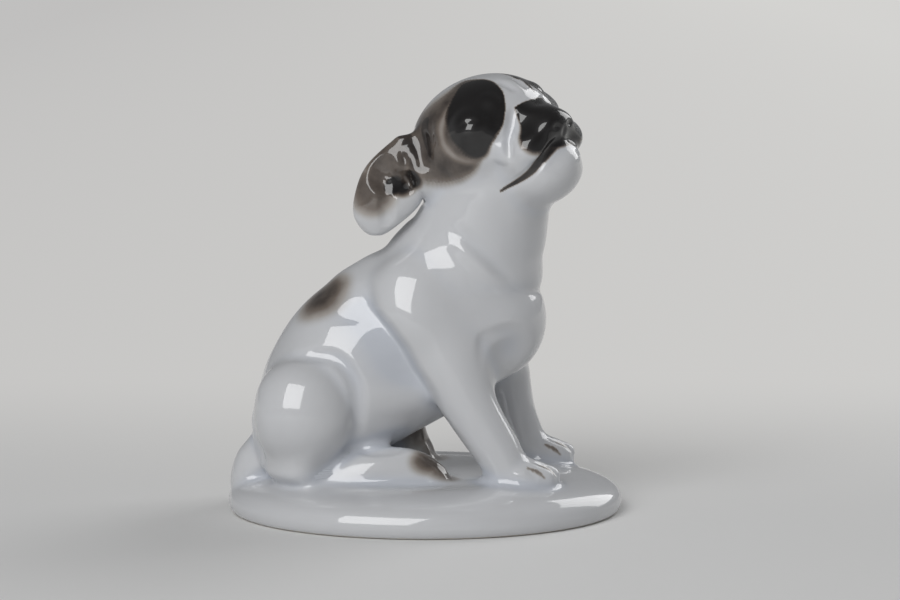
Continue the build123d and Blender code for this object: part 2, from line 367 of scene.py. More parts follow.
# the shoulder blade stands over the trunk, with a long crease behind it down to the foreleg
SHOULDER_EDGE = [(-11.8, -14.7, 47.7), (-8.4, -17.0, 43.8), (-5.2, -17.9, 39.4),
                 (-2.4, -17.8, 34.5)]
blade_ridge = np.array([(-13.0, -9.0, 54.0)] + SHOULDER_EDGE) + (4.4, 0, 1.8)
pair_on_body(stroke, blade_ridge, 6.0, 0.8, ends=0.4)
body.values += trunk_share * (blurred(body.values, 1.3, VOXEL) - body.values)
pair_on_body(stroke, [(-12.6, -10.5, 52.0)] + SHOULDER_EDGE, 1.9, -0.5)

# the waist falls back towards that crease and the foreleg's rear edge
CREASE_HEIGHTS = [24.3, 30.0, 34.5, 39.4, 43.8, 47.7, 54.0, 60.0]
CREASE_PLACES = [3.6, 0.4, -2.6, -5.2, -8.4, -11.8, -13.5, -13.0]    # X at those heights
CREASE_LEAN = 0.82           # the share of a level distance that is square to the crease
WAIST_DEPTH = 2.6
WAIST_LENGTH = 14            # how far behind the crease the waist has run out
behind = CREASE_LEAN * (np.interp(Z, CREASE_HEIGHTS, CREASE_PLACES) - X)
fall = ramp(behind, -2.2, 0.3) * np.clip(1 - behind / WAIST_LENGTH, 0, 1) ** 1.5
fall = fall * ramp(np.abs(Y), 7, 13) * ramp(Z, 58, 44) * ramp(Z, 24, 34)
body.values += WAIST_DEPTH * fall * ramp(from_haunches, 0, 2.5)

# collar fold round the neck's root, and the breast below it
collar = [(4.0, -14.0, 64.5), (8.5, -15.4, 61.5), (12.4, -15.3, 58.0), (16.0, -14.0, 54.6),
          (20.5, -10.8, 51.6)]
for line in each_side(collar):
    stroke(body, line + (0.6, 0, 2.0), 2.6, -0.45, ends=0.35)
    stroke(body, line - (0, 0, 1.0), 2.6, 0.4, ends=0.35)
breast = mirrored([(16.5, -13.2, 54.0), (21.5, -10.4, 51.4), (25.6, -5.0, 50.6)],
                  (26.6, 0.0, 50.4))
stroke(body, breast, 2.2, -0.35)
stroke(body, np.array(breast) + (0.4, 0, 3.4), 4.6, 0.8)

# the arch where each foreleg leaves the chest, and the chest's underside drawn in
pair_on_body(stroke, [(12.3, -16.4, 34.5), (13.0, -16.0, 40.3), (15.1, -15.0, 42.0),
                      (18.4, -13.9, 42.6), (23.0, -11.5, 41.5)], 2.4, -0.6)
pair_on_body(mound, (19.5, -12.5, 37.5), (8.0, 7.0, 8.0), -1.7)

# crease round the top and front of each haunch, and the haunches' rear drawn in
pair_on_body(stroke, [(-31.5, -11.5, 35.4), (-27.5, -14.0, 37.0), (-20.8, -16.2, 37.4),
                      (-17.0, -17.3, 34.5), (-14.8, -17.5, 30.1), (-14.4, -16.6, 23.2),
                      (-15.4, -14.2, 17.1)], 2.4, -1.5, ends=0.4)
pair_on_body(mound, (-39.0, -13.0, 24.0), (9.0, 9.0, 10.0), -0.7)

# crease where the belly meets each hind foot
pair_on_body(stroke, [(-15.8, -14.6, 17.0), (-11.5, -15.8, 17.3), (-7.5, -15.4, 16.9),
                      (-3.5, -14.0, 16.0)], 2.0, -1.0)

# the left haunch's rear, drawn in further, as the photo doesn't show it past the rump
mound(body, (-39.5, 10.0, 22.0), (8.0, 9.0, 11.0), -1.1)

# the outer upper edge of each hind foot turns in towards the toes
TURN_DEPTH = 1.5
turned_in = ramp(X, -14, 1) * ramp(Z, 9.6, 11.5) * ramp(Z, 17, 14.5)
turned_in = turned_in * ramp(np.abs(Y), 14.5, 17.5)
body.values += TURN_DEPTH * turned_in * ramp(X, 6, 3)

# the left shin, which shows between the belly and the left hind foot
rod(body, (-3.4, 12.5, 12.5), (-5.0, 9.0, 24.0), 4.0, 3.5)

# toes
FOREPAWS = ((-14.3, 28.6, 22.5), (14.3, 33.1, 27.0))    # middle line, tip, heel
HIND_PAWS = ((-13.0, 5.2), (13.0, 1.9))                 # middle line, tip
for middle, tip, heel in FOREPAWS:
    for offset in (-3.5, 0.0, 3.5):
        mound(body, (tip - 0.05 * offset ** 2, middle + offset, 11.0), (2.8, 2.0, 2.6), 0.55)
    for offset in (-1.9, 1.9):
        stroke(body, [(heel + 0.5, middle + offset, 14.6), (tip - 1.0, middle + offset, 12.6),
                      (tip + 1.6, middle + offset, 9.8)], 1.25, -0.65)
    for offset in (-5.0, 5.0):
        stroke(body, [(heel, middle + offset, 12.6), (heel + 2.6, middle + offset, 10.6)],
               1.1, -0.6)
for middle, tip in HIND_PAWS:
    for offset in (-3.2, 0.0, 3.2):
        mound(body, (tip - 1.6 - 0.08 * offset ** 2, middle + offset, 10.6), (2.8, 2.0, 2.4), 0.2)
    soften(body, (tip - 2.0, middle, 12.0), 6.5, 0.7)
    for offset in (-1.7, 1.7):
        stroke(body, [(tip - 5.5, middle + offset, 14.2), (tip - 2.5, middle + offset, 12.4),
                      (tip, middle + offset, 9.6)], 1.3, -0.35)
pair_on_body(soften, (-22.5, -18.0, 11.8), 6.0, 0.8)
body.values = blurred(body.values, 0.3, VOXEL)


# ---- head on a finer grid -------------------------------------------------------------------

def doubled(values):
    """Some values on a grid twice as fine, between the old ones by straight lines."""
    for axis in range(3):
        before = np.take(values, range(values.shape[axis] - 1), axis)
        after = np.take(values, range(1, values.shape[axis]), axis)
        pairs = np.stack([before, (before + after) / 2], axis=axis + 1)
        values = pairs.reshape([2 * n if i == axis else n for i, n in enumerate(before.shape)])
    return values


HEAD_VOXEL = VOXEL / 2
HEAD_MARGIN = 4              # round the box of the head and ears

boxes = [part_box(name) for name in head_names]
head_low = np.min([box[0] for box in boxes], axis=0) / MM - HEAD_MARGIN
head_high = np.max([box[1] for box in boxes], axis=0) / MM + HEAD_MARGIN
part = body.box(head_low, head_high)[0]
head = Clay(body.low + np.array([s.start for s in part]) * VOXEL,
            body.low + np.array([s.stop for s in part]) * VOXEL, HEAD_VOXEL)
head.values = doubled(body.values[part])
head.shape = head.values.shape
head_z = head.box(head_low - REACH, head_high + REACH)[1][2]
ear_fillet = 1.6 * ramp(head_z, 71, 76)
for name in ears:
    points, triangles = cad_mesh(name)
    ear = head.from_mesh(points, 5.0, triangles=triangles)
    head.values = joined(head.values, blurred(ear, 0.3, HEAD_VOXEL), ear_fillet)


def pair_on_head(tool, points, *settings, **more):
    """Use a modelling tool on the head's left side and in the same place on the right."""
    for place in on_both_sides(points):
        tool(head, place, *settings, **more)


# ---- face -----------------------------------------------------------------------------------

# the way the left eye faces and its middle, in the head's frame
EYE_AXIS = np.array([0.57, 0.81, -0.07])
EYE_MIDDLE = np.array([7.2, 14.7, 3.3])


def eye_profile(across, up):
    """How far the surface round an eye is raised, ahead of its middle and above it."""
    r = np.hypot(across / 1.1, up / 0.95)
    ball = 0.5 * bell(r / 5.2)
    behind_eye = ramp(across, 1, -4)
    socket = -0.16 * np.exp(-((r - 5.6) / 1.0) ** 2)
    fold = 0.14 * np.exp(-((r - 7.1) / 1.0) ** 2)
    return ball + behind_eye * (socket + fold)


for side in (-1, 1):
    mirror = np.array([1, side, 1])
    middle = to_world(EYE_MIDDLE * mirror)[0]
    soften(head, middle, 9.5, 1.2)
    axis = (EYE_AXIS * mirror) @ HEAD_AXES
    axis /= np.linalg.norm(axis)
    upward = HEAD_AXES[2] - (HEAD_AXES[2] @ axis) * axis
    upward /= np.linalg.norm(upward)
    ahead = side * np.cross(axis, upward)
    part, lines = head.box(middle - 9, middle + 9)
    offset = np.stack(np.broadcast_arrays(*lines), axis=-1) - middle
    raised = eye_profile(offset @ ahead, offset @ upward)
    head.values[part] -= raised * ramp(offset @ axis, -8, -5)
    # the lids meet the ball in two shallow bent lines
    for height, bend in ((1.7, -0.10), (-1.8, 0.10)):
        lid = [middle + a * ahead + (height + bend * a * a) * upward
               for a in (-3, -1.5, 0, 1.5, 3)]
        stroke(head, lid, 1.1, -0.16)

# brow over each eye, the left one drawn in at its front, and the small ridge before each eye
pair_on_head(mound, [9.6, 8.4, 7.6], (3.6, 3.6, 4.0), 0.45)
mound(head, to_world([9.0, 13.6, 5.4]), (6.5, 6.5, 6.5), -1.1)
pair_on_head(mound, [9.6, 11.6, 0.6], (2.0, 2.0, 2.6), 0.35)

# cheek ridge, lip pad and the small swellings on the cheek
pair_on_head(stroke, [(10.4, 10.6, -0.6), (9.6, 11.4, -3.6), (7.8, 11.8, -6.4)], 2.6, 0.8)
pair_on_head(mound, [14.6, 8.4, -4.4], (4.6, 4.6, 4.6), 0.8)
pair_on_head(mound, [-8.2, 17.5, -1.2], (2.6, 2.6, 2.6), 0.6)
pair_on_head(mound, [-0.8, 15.3, -3.7], (3.0, 3.0, 3.0), 0.6)

# fold between cheek and muzzle, from the stop down and round the lip pad
pair_on_head(stroke, [(12.9, 4.6, 5.0), (12.5, 6.9, 2.2), (12.0, 8.7, -0.8),
                      (11.6, 10.2, -3.8), (11.0, 10.4, -6.4)], 1.7, -1.1)

# mouth, cut from each corner to the middle, and the chin below it
mouth = mirrored([(4.2, -9.8, -10.9), (8.6, -9.6, -10.8), (12.6, -8.8, -10.3),
                  (15.8, -7.2, -8.9), (17.6, -4.6, -7.1), (18.2, -1.9, -5.9)],
                 (18.3, 0.0, -5.6))
soften(head, to_world([17.4, 0, -6.4]), 5.5, 0.6)
for half in (mouth[:7], mouth[:5:-1]):
    stroke(head, to_world(half), 1.6, -1.15, ends=0.4)
mound(head, to_world([14.8, 0, -10.2]), (5.5, 5.5, 4.5), 0.9)

# nose: a broad wedge, nostrils, the groove under it
mound(head, to_world([18.4, 0, -0.8]), (5.5, 5.5, 4.5), 0.7)
pair_on_head(mound, [17.2, 4.6, -2.4], (4.6, 4.6, 4.4), 0.9)
pair_on_head(mound, [15.0, 3.6, 2.0], (4.6, 4.6, 4.4), 0.7)
soften(head, to_world([18.0, 0, -0.5]), 8.0, 0.9)
pair_on_head(soften, [15.0, 7.0, -1.5], 5.5, 0.8)
pair_on_head(mound, [20.4, 2.4, -3.4], (1.5, 1.5, 1.1), -0.55)
stroke(head, to_world([(20.6, 0, -3.6), (19.4, 0, -4.8), (18.6, 0, -5.8)]), 0.9, -0.4)

# furrow down each side of the forehead's middle ridge
pair_on_head(stroke, [(12.4, 1.8, 7.8), (10.6, 2.2, 10.0), (8.0, 2.6, 11.9)], 1.4, -0.5)
stroke(head, to_world([(13.2, 0, 6.0), (11.8, 0, 9.2), (8.6, 0, 12.2)]), 1.6, 0.3)


# ---- ears -----------------------------------------------------------------------------------

# folds at each ear's root
pair_on_head(stroke, [(-5.6, 15.2, 8.4), (-5.8, 16.2, 5.4), (-5.6, 16.8, 2.6)], 1.8, -1.0)
pair_on_head(stroke, [(-3.0, 14.8, 9.2), (-3.2, 16.0, 6.0), (-2.6, 16.8, 3.0)], 1.6, -0.7)
pair_on_head(mound, [-8.2, 16.2, 9.2], (5.0, 5.0, 5.0), 0.5)
pair_on_head(mound, [-7.0, 16.6, 4.6], (5.0, 5.0, 6.0), -1.1)
pair_on_head(soften, [-6.5, 15.8, 6.5], 7.5, 0.7)

# canal, the step along the rolled rim, the ridge in front
pair_on_head(stroke, [(-14.9, 21.6, 0.4), (-13.3, 20.2, -0.7), (-11.4, 18.6, -1.6)],
             3.4, -3.0, ends=0.25)
pair_on_head(soften, [-13.2, 20.2, -0.8], 5.0, 0.6)
pair_on_head(stroke, [(-13.6, 21.2, 1.2), (-15.4, 22.2, -0.6), (-16.9, 22.8, -3.6),
                      (-18.2, 22.9, -6.4), (-19.4, 22.6, -8.8)], 2.4, -1.0)
pair_on_head(stroke, [(-10.4, 17.2, 7.0), (-9.0, 17.8, 4.6), (-9.2, 18.4, 1.4),
                      (-10.0, 18.6, -1.8)], 1.8, 0.7)

# the last smoothing leaves the neck as it is on the coarser grid
smoothed = blurred(head.values, 0.25, HEAD_VOXEL)
head.values += ramp(head_z, SEAM_HEIGHT + 0.5, SEAM_HEIGHT + 3) * (smoothed - head.values)


# ---- paint ----------------------------------------------------------------------------------

# Amounts from 0, bare white, through a thin grey-brown wash, to 1, black.

def washed(points, places, radii, amount):
    """A soft-edged patch round each of some places."""
    total = np.zeros(len(points))
    for place in np.atleast_2d(places):
        q = np.linalg.norm((points - place) / radii, axis=1)
        total = np.maximum(total, amount * ramp(q, 1.0, 0.35))
    return total


def drawn(clay, points, line, widths, amount):
    """A brush line whose half width runs between values along it."""
    line = laid(clay, through(line))
    distance, along = nearest(line, points, max(widths))
    width = np.interp(along, np.linspace(0, 1, len(widths)), widths)
    return amount * ramp(distance / width, 1.25, 0.75)


def filled(across, up, outline, amount):
    """A patch within an outline of places in a plane, each with its edge's softness."""
    loop = through(outline + outline[:1], steps=6)
    within = np.zeros(len(across), bool)
    best = np.full(len(across), np.inf)
    softness = np.ones(len(across))
    for a, b in zip(loop, loop[1:]):
        crossing = (a[1] > up) != (b[1] > up)
        rise = b[1] - a[1] if abs(b[1] - a[1]) > 1e-9 else 1e-9
        within ^= crossing & (across < a[0] + (b[0] - a[0]) * (up - a[1]) / rise)
        distance = (across - a[0]) ** 2 + (up - a[1]) ** 2
        nearer = distance < best
        best[nearer] = distance[nearer]
        softness[nearer] = a[2]
    signed = np.where(within, 1, -1) * np.sqrt(best)
    return amount * ramp(signed / softness, -0.5, 0.5)


# round each eye, in the plane that the eye faces: forwards, up, softness of the edge
EYE_PATCH = [(-1.6, 8.4, 1.6), (1.0, 10.2, 0.6), (4.7, 9.7, 0.5), (7.4, 8.1, 0.5),
             (8.9, 5.3, 0.5), (8.7, 2.6, 0.5), (8.0, 0.8, 0.5), (6.6, -1.5, 0.5),
             (4.5, -2.9, 0.7), (2.6, -4.6, 1.4), (0.4, -6.2, 2.2), (-2.8, -5.4, 3.2),
             (-4.8, -1.5, 3.6), (-5.2, 2.0, 3.4), (-4.2, 5.5, 2.8)]
EYE_WASH = [(-3.4, 9.6, 2.4), (0.8, 10.8, 1.0), (4.7, 9.9, 0.5), (7.4, 8.3, 0.5),
            (9.0, 5.4, 0.5), (8.8, 2.6, 0.5), (8.1, 0.7, 0.5), (6.6, -1.7, 0.6),
            (4.0, -3.8, 0.8), (1.4, -5.4, 1.0), (-0.8, -7.0, 1.6), (-3.6, -8.4, 3.0),
            (-8.0, -8.6, 4.0), (-13.0, -7.0, 4.5), (-17.0, -3.0, 4.5), (-17.0, 3.0, 4.0),
            (-12.0, 7.2, 3.5), (-7.6, 8.6, 3.0)]
# muzzle from the side: forwards, up, softness of the edge
MUZZLE_PATCH = [(13.0, 4.6, 0.5), (15.0, 5.6, 0.5), (18.5, 5.0, 0.5), (23.0, 3.0, 0.5),
                (23.0, -6.5, 0.8), (18.4, -7.2, 1.2), (16.6, -7.0, 2.2), (15.3, -4.8, 2.2),
                (14.3, -1.8, 1.6), (13.6, 1.0, 0.9), (13.1, 3.0, 0.5)]
MOUTH_WIDTHS = [0.25, 0.5, 0.7, 1.0, 1.4, 1.5, 1.3, 1.5, 1.4, 1.0, 0.7, 0.5, 0.25]
BACK_SLOPE = radians(48.5)
SADDLE_MIDDLE = (-22.5, -5.5, 49.0)


def brushed(points, line, widths, amount):
    """A brush line on both sides of the head, given on its left."""
    left, right = (drawn(head, points, side, widths, amount) for side in on_both_sides(line))
    return np.maximum(left, right)


def head_paint(points):
    """The amount of paint at points of the head and ears, with painted shade in the ears' canals
    and root folds and a painted highlight on the fold behind each eye.
    """
    local = (points - HEAD_CENTRE) @ HEAD_AXES.T
    folded = local * (1, 0, 1) + np.abs(local[:, 1:2]) * (0, 1, 0)
    upward = np.array([0, 0, 1]) - EYE_AXIS[2] * EYE_AXIS
    upward /= np.linalg.norm(upward)
    forward = np.cross(EYE_AXIS, upward)
    forward /= np.linalg.norm(forward)
    offset = folded - EYE_MIDDLE
    across, up = offset @ forward, offset @ upward
    r = np.hypot(across, up)
    off_middle = ramp(folded[:, 1], 1.0, 3.0)
    wash = filled(across, up, EYE_WASH, 0.72) * off_middle
    # painted highlight: the wash is paler along the fold behind each eye, where the fold catches
    # the light
    wash *= 1 - 0.45 * np.exp(-((r - 6.9) / 0.9) ** 2) * ramp(across, 2, -4)
    core = filled(across, up, EYE_PATCH, 1.2) * off_middle
    amount = np.maximum(wash, core)

    # ears: brown flap, with painted shade darkening the canal's hollow and the folds at the root.
    # The lobe stays pale.
    flap = washed(folded, [(-14.5, 21.5, 3.6), (-12.0, 19.5, 6.0), (-18.0, 24.5, 0.5)],
                  (7.5, 7.5, 7.5), 0.66)
    # painted shade: the canal's hollow is painted near black
    canal = washed(folded, [(-14.2, 21.0, -0.4), (-12.6, 19.7, -1.2), (-11.4, 18.8, -0.8)],
                   (4.4, 4.4, 3.4), 1.15)
    # painted shade: dark lines along the grooves of the folds at each ear's root
    folds = np.maximum(
        brushed(points, [(-5.0, 14.2, 9.6), (-5.6, 16.0, 5.6), (-5.4, 16.8, 2.6)],
                [1.6, 1.4, 0.6], 0.88),
        brushed(points, [(-11.5, 15.8, 9.4), (-8.8, 17.0, 6.6), (-8.0, 17.6, 3.4)],
                [1.8, 1.5, 0.6], 0.88))
    for extra in (flap, canal, folds):
        amount = np.maximum(amount, extra)

    # muzzle, mouth and a thin line on the left of the forehead
    muzzle = filled(local[:, 0], local[:, 2], MUZZLE_PATCH, 1.2)
    muzzle *= ramp(local[:, 0], 11.5, 12.5)
    lips = drawn(head, points, to_world(mouth), MOUTH_WIDTHS, 0.94)
    brow = drawn(head, points, to_world([(9.6, 4.4, 10.6), (11.2, 3.9, 8.8), (12.4, 3.4, 6.8)]),
                 [0.3, 0.55, 0.3], 0.9)
    for extra in (muzzle, lips, brow):
        amount = np.maximum(amount, extra)
    return amount


def body_paint(points):
    """The amount of paint at points of the body and feet."""
    # the saddle's patch lies along the slope of the back
    saddle_axes = np.array([(cos(BACK_SLOPE), 0, sin(BACK_SLOPE)), (0, 1, 0),
                            (-sin(BACK_SLOPE), 0, cos(BACK_SLOPE))])
    local = (points - SADDLE_MIDDLE) @ saddle_axes.T
    q = np.linalg.norm(local / (9.0, 7.5, 9.0), axis=1)
    amount = 0.72 * ramp(q, 1.05, 0.2)

    # lines between the forepaws' toes, and the brown on the hind feet
    for middle, tip, _ in FOREPAWS:
        for offset in (-5.0, -1.9, 1.9, 5.0):
            start = tip - (5.6 if abs(offset) > 3 else 3.2)
            line = [(start, middle + offset, 13.6), (start + 2.0, middle + offset, 12.4),
                    (start + 3.4, middle + offset, 11.0)]
            amount = np.maximum(amount, drawn(body, points, line, [0.2, 0.5, 0.25], 0.42))
    near_toes = washed(points, [(0.5, -14.0, 13.0), (3.2, -13.6, 11.0)], (6.2, 5.4, 4.2), 0.66)
    far_toes = washed(points, [(-2.5, 13.0, 12.5), (0.6, 12.6, 11.5), (-2.0, 10.5, 16.5)],
                      (6.5, 6.5, 6.5), 0.62)
    return np.maximum.reduce([amount, near_toes, far_toes])


# ---- surfaces -------------------------------------------------------------------------------

def surface(clay):
    """The points and quads of the outer skin of a form in clay."""
    points, quads = clay.skin(clay.values)
    quads = outermost(points, quads)
    used, quads = np.unique(quads, return_inverse=True)
    points = points[used].astype(float)
    quads = quads.reshape(-1, 4)
    for _ in range(2):
        points -= clay.sample(clay.values, points)[:, None] * clay.slope(clay.values, points)
    return points, quads


def cut_level(points, quads, height):
    """The mesh with an edge loop where it crosses a height, as points and a list of faces."""
    mesh = bpy.data.meshes.new("cut")
    mesh.from_pydata(points, [], quads)
    sheet = bmesh.new()
    sheet.from_mesh(mesh)
    bpy.data.meshes.remove(mesh)
    everything = sheet.verts[:] + sheet.edges[:] + sheet.faces[:]
    bmesh.ops.bisect_plane(sheet, geom=everything, plane_co=(0, 0, height), plane_no=(0, 0, 1))
    points = np.array([v.co for v in sheet.verts])
    faces = [[v.index for v in face.verts] for face in sheet.faces]
    sheet.free()
    return points, faces


def owners(points, faces, above, below):
    """The node that each face belongs to, from the names allowed above and below the seam."""
    centres = np.array([points[face].mean(axis=0) for face in faces])
    reach = {name: body.sample(near[name], centres) for name in set(above) | set(below)}
    high = centres[:, 2] > SEAM_HEIGHT
    from_above = np.array(above)[np.argmin([reach[name] for name in above], axis=0)]
    from_below = np.array(below)[np.argmin([reach[name] for name in below], axis=0)]
    return np.where(high, from_above, from_below)


def closing_faces(faces, points):
    """Centres and triangles that close each opening of a patch on its inner side."""
    edges = {}
    for face in faces:
        for a, b in zip(face, face[1:] + face[:1]):
            if (b, a) in edges:
                del edges[(b, a)]
            else:
                edges[(a, b)] = True
    rim = {}
    for a, b in edges:
        rim.setdefault(a, []).append(b)
        rim.setdefault(b, []).append(a)
    group = {}
    centres = []
    for start in rim:
        if start in group:
            continue
        stack, members = [start], []
        group[start] = len(centres)
        while stack:
            v = stack.pop()
            members.append(v)
            for w in rim[v]:
                if w not in group:
                    group[w] = len(centres)
                    stack.append(w)
        centres.append(points[members].mean(axis=0))
    triangles = [[b, a, len(points) + group[a]] for a, b in edges]
    return centres, triangles


def store(mesh, name, values):
    """Keep an amount at each point of a mesh, for its material."""
    layer = mesh.attributes.new(name, "FLOAT", "POINT")
    layer.data.foreach_set("value", np.asarray(values, np.float32))


def piece(name, points, faces, normals):
    """One node's share of the surface, closed on its inner side, in the node's place."""
    used = sorted({v for face in faces for v in face})
    renamed = {v: i for i, v in enumerate(used)}
    faces = [[renamed[v] for v in face] for face in faces]
    points, normals = points[used], normals[used]
    centres, triangles = closing_faces(faces, points)
    everything = np.vstack([points, np.array(centres).reshape(-1, 3)])
    mesh = bpy.data.meshes.new(f"glazed_{name}")
    mesh.from_pydata(everything * MM, [], faces + triangles)
    mesh.polygons.foreach_set("use_smooth", np.ones(len(mesh.polygons), bool))
    mesh.update()
    corner_normals = np.array([tuple(n.vector) for n in mesh.corner_normals])
    outer_corners = sum(len(face) for face in faces)
    corner_vertices = np.concatenate([np.array(face) for face in faces])
    corner_normals[:outer_corners] = normals[corner_vertices]
    flat = np.repeat([tuple(p.normal) for p in mesh.polygons[len(faces):]], 3, axis=0)
    corner_normals[outer_corners:] = flat.reshape(-1, 3)
    mesh.normals_split_custom_set(corner_normals)
    paint = head_paint if name in head_names else body_paint
    store(mesh, "paint", paint(everything))
    store(mesh, "pooled", body.sample(pooling, everything))
    thing = bpy.data.objects.new(f"glazed_{name}", mesh)
    bpy.context.scene.collection.objects.link(thing)
    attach(thing, "root")
    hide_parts(name)
    return thing


coarse_points, coarse_faces = cut_level(*surface(body), SEAM_HEIGHT)
fine_points, fine_faces = cut_level(*surface(head), SEAM_HEIGHT)
coarse = (coarse_points, coarse_faces, body.slope(body.values, coarse_points),
          owners(coarse_points, coarse_faces, ["head"], body_names))
fine = (fine_points, fine_faces, head.slope(head.values, fine_points),
        owners(fine_points, fine_faces, head_names, ["torso"] + ears))
pieces = {}
for name in nodes:
    points, faces, normals, owner = fine if name in head_names else coarse
    chosen = [face for face, who in zip(faces, owner) if who == name]
    pieces[name] = piece(name, points, chosen, normals)


# ---- materials ------------------------------------------------------------------------------

WHITE = (0.55, 0.557, 0.572)
PAINT_COLOURS = [(0.0, WHITE), (0.22, (0.36, 0.335, 0.31)), (0.5, (0.155, 0.128, 0.108)),
                 (0.78, (0.040, 0.031, 0.026)), (1.0, (0.006, 0.005, 0.005))]
BISCUIT = (0.60, 0.575, 0.53)
BISCUIT_STAIN = (0.46, 0.42, 0.36)
CLOUD_TINT = (0.88, 0.90, 0.94)
POOL_TINT = (0.86, 0.90, 0.97)
SPECK = (0.12, 0.11, 0.10)
UNSPECKED = 0.985            # the share of the glaze's cells without a kiln speck
FACING_DOWN = -0.7           # the upright part of a bare face's normal is below this
BARE_HEIGHT = 0.4            # and the face lies below this, in millimetres


class Nodes:
    """A material's node tree, with short ways to add and link nodes."""

    def __init__(self, name):
        self.material = bpy.data.materials.new(name)
        self.material.use_nodes = True
        self.tree = self.material.node_tree
        self.shader = self.tree.nodes["Principled BSDF"]

    def fill(self, node, inputs):
        """Set a node's inputs, each to a value or to a linked socket."""
        for key, value in inputs.items():
            if isinstance(value, bpy.types.NodeSocket):
                self.tree.links.new(value, node.inputs[key])
            else:
                node.inputs[key].default_value = value

    def add(self, kind, inputs=None, **settings):
        """A node with its settings and inputs."""
        node = self.tree.nodes.new(kind)
        for key, value in settings.items():
            setattr(node, key, value)
        self.fill(node, inputs or {})
        return node

    def noise(self, scale, detail=2.0):
        """Noise in the object's own metres."""
        place = self.add("ShaderNodeTexCoord").outputs["Object"]
        inputs = {"Vector": place, "Scale": scale, "Detail": detail}
        return self.add("ShaderNodeTexNoise", inputs).outputs["Fac"]

    def spread(self, value, low, high, to_low, to_high, curve="LINEAR"):
        """A value moved from one range to another and kept in it."""
        inputs = {"Value": value, "From Min": low, "From Max": high, "To Min": to_low,
                  "To Max": to_high}
        return self.add("ShaderNodeMapRange", inputs, interpolation_type=curve).outputs["Result"]

    def maths(self, operation, a, b):
        """Two values put together."""
        return self.add("ShaderNodeMath", {0: a, 1: b}, operation=operation).outputs[0]

    def blend(self, share, first, second, kind="MIX"):
        """Two colours mixed by a share."""
        node = self.add("ShaderNodeMix", {"Factor": share}, data_type="RGBA", blend_type=kind)
        for socket, value in ((node.inputs[6], first), (node.inputs[7], second)):
            if isinstance(value, bpy.types.NodeSocket):
                self.tree.links.new(value, socket)
            else:
                socket.default_value = (*value, 1)
        return node.outputs[2]


def glaze(name):
    """White porcelain with paint under a clear glaze, bluish where the glaze pools."""
    nodes = Nodes(name)
    amount = nodes.add("ShaderNodeAttribute", attribute_name="paint").outputs["Fac"]
    pooled = nodes.add("ShaderNodeAttribute", attribute_name="pooled").outputs["Fac"]
    # brushwork: thin paint varies more than thick
    streaks = nodes.spread(nodes.noise(260.0, 4.0), 0.3, 0.7, 0.86, 1.12)
    mottled = nodes.maths("MULTIPLY", amount, streaks)
    colours = nodes.add("ShaderNodeValToRGB", {"Fac": mottled})
    ramp_points = colours.color_ramp.elements
    while len(ramp_points) < len(PAINT_COLOURS):
        ramp_points.new(0.5)
    for point, (place, colour) in zip(ramp_points, PAINT_COLOURS):
        point.position = place
        point.color = (*colour, 1)
    # cloudy body, bluish pools, and a few kiln specks
    clouds = nodes.spread(nodes.noise(45.0, 3.0), 0.3, 0.7, 0.0, 0.10)
    body_colour = nodes.blend(clouds, colours.outputs["Color"], CLOUD_TINT, "MULTIPLY")
    tint = nodes.spread(pooled, 0.02, 0.7, 0.0, 0.75)
    tinted = nodes.blend(tint, body_colour, POOL_TINT, "MULTIPLY")
    place = nodes.add("ShaderNodeTexCoord").outputs["Object"]
    cells = nodes.add("ShaderNodeTexVoronoi", {"Vector": place, "Scale": 130.0})
    draw = nodes.add("ShaderNodeSeparateColor", {"Color": cells.outputs["Color"]}).outputs[0]
    chosen = nodes.maths("GREATER_THAN", draw, UNSPECKED)
    dot = nodes.spread(cells.outputs["Distance"], 0.03, 0.07, 0.7, 0.0)
    specks = nodes.maths("MULTIPLY", chosen, dot)
    final = nodes.blend(specks, tinted, SPECK)
    # glaze flows in long low waves
    waves = nodes.add("ShaderNodeBump", {"Height": nodes.noise(85.0, 1.0), "Strength": 0.35,
                                         "Distance": 0.12 * MM}).outputs["Normal"]
    dull = nodes.spread(nodes.noise(120.0, 2.0), 0.3, 0.7, 0.38, 0.5)
    nodes.fill(nodes.shader, {
        "Base Color": final, "Roughness": dull, "Normal": waves, "Coat Normal": waves,
        "Specular IOR Level": 0.2, "Coat Weight": 1.0, "Coat Roughness": 0.02,
        "Coat IOR": 1.6})
    return nodes.material


def biscuit(name):
    """The unglazed porcelain of the foot."""
    nodes = Nodes(name)
    grain = nodes.noise(900.0, 5.0)
    stains = nodes.spread(nodes.noise(70.0, 3.0), 0.35, 0.7, 0.0, 0.5)
    colour = nodes.blend(stains, BISCUIT, BISCUIT_STAIN)
    rough = nodes.add("ShaderNodeBump", {"Height": grain, "Strength": 0.4,
                                         "Distance": 0.1 * MM}).outputs["Normal"]
    nodes.fill(nodes.shader, {"Base Color": colour, "Normal": rough, "Roughness": 0.9})
    return nodes.material


glazes = {name: glaze(name) for name in ("white_glaze", "painted_glaze")}
for name, thing in pieces.items():
    slot_name = "painted_glaze" if name in head_names else "white_glaze"
    thing.data.materials.append(glazes[slot_name])

plinth = pieces["plinth"].data
plinth.materials.append(biscuit("biscuit"))
for face in plinth.polygons:
    if face.normal.z < FACING_DOWN and face.center.z < BARE_HEIGHT * MM:
        face.material_index = 1


# ---- set, light and camera ------------------------------------------------------------------

PAPER = (0.75, 0.75, 0.745)
PAPER_CLOUD = (0.60, 0.60, 0.59)
